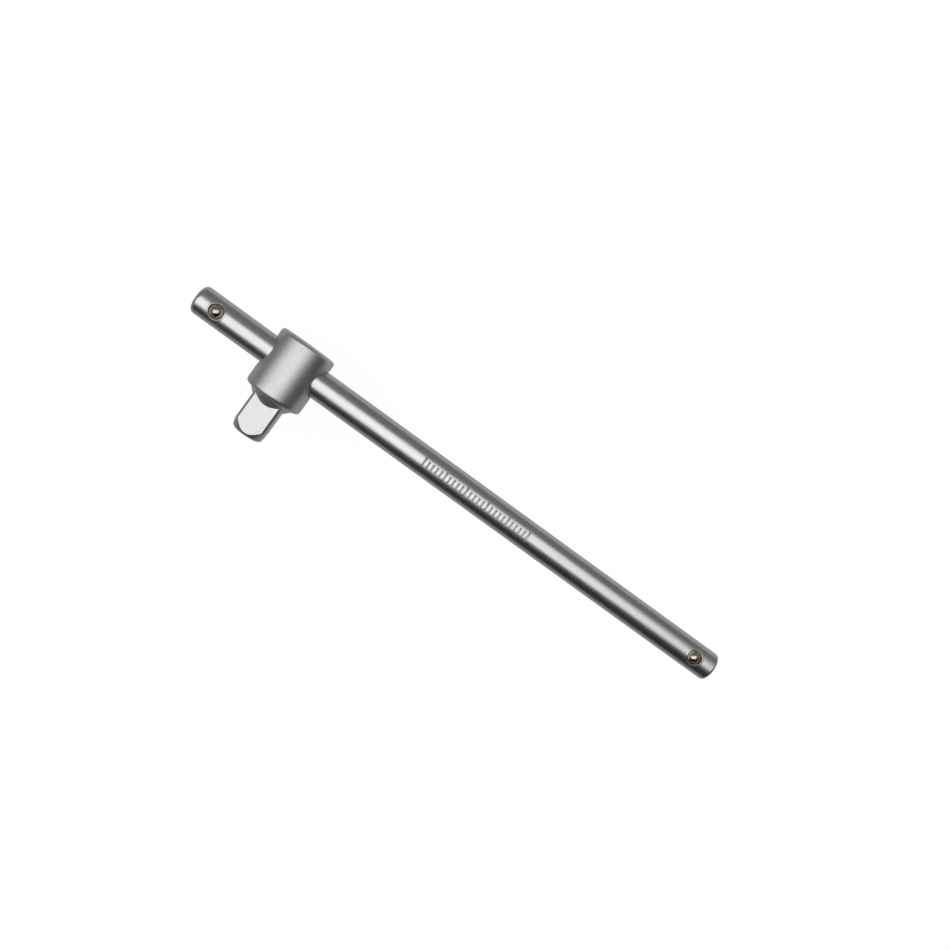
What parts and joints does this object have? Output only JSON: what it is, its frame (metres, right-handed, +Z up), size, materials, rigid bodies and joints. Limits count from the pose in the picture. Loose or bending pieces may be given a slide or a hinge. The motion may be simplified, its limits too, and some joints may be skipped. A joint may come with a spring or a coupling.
{
  "type": "sliding t-handle",
  "caption": "Sliding T-handle for sockets: a round bar with a sprung stop ball near each end, passing through a cylindrical head with a half inch square drive.",
  "frame": {"origin": "centre of the drive square's end face, on the head's axis", "axes": "+X along the bar towards its long end, +Y from the square's end face up to the head's top, +Z up, out of the face of the bar that carries the stop balls; the tool lies flat"},
  "size_m": [0.25, 0.0425, 0.024],
  "materials": {
    "satin_chrome": "satin chrome plating on chrome vanadium steel",
    "ball_steel": "polished hardened steel with a warm tint",
    "spring_steel": "drawn spring wire, oiled"
  },
  "bodies": {
    "bar": {"t_bar": "satin_chrome", "stop_spring_left": "spring_steel", "stop_spring_right": "spring_steel"},
    "ring": {"friction_ring": "spring_steel"},
    "head": {"drive_head": "satin_chrome", "drive_spring": "spring_steel"},
    "left_stop": {"stop_ball_left": "ball_steel"},
    "right_stop": {"stop_ball_right": "ball_steel"},
    "socket_ball": {"drive_ball": "ball_steel"}
  },
  "joints": [
    {"name": "head_slide", "type": "slide", "parent": "bar", "child": "ring", "axis": [1, 0, 0], "range_m": [-0.0208, 0.1818]},
    {"name": "head_swivel", "type": "hinge", "parent": "ring", "child": "head", "pos_m": [0, 0.0322, 0], "axis": [1, 0, 0], "continuous": true},
    {"name": "left_stop_press", "type": "slide", "parent": "bar", "child": "left_stop", "axis": [0, 0, 1], "range_m": [-0.0009, 0], "stiffness_N_per_m": 2000, "springref_m": 0.001, "deforming": ["stop_spring_left"]},
    {"name": "right_stop_press", "type": "slide", "parent": "bar", "child": "right_stop", "axis": [0, 0, 1], "range_m": [-0.0009, 0], "stiffness_N_per_m": 2000, "springref_m": 0.001, "deforming": ["stop_spring_right"]},
    {"name": "socket_ball_press", "type": "slide", "parent": "head", "child": "socket_ball", "axis": [0, 0, -1], "range_m": [-0.0011, 0], "stiffness_N_per_m": 3000, "springref_m": 0.001, "deforming": ["drive_spring"]}
  ]
}
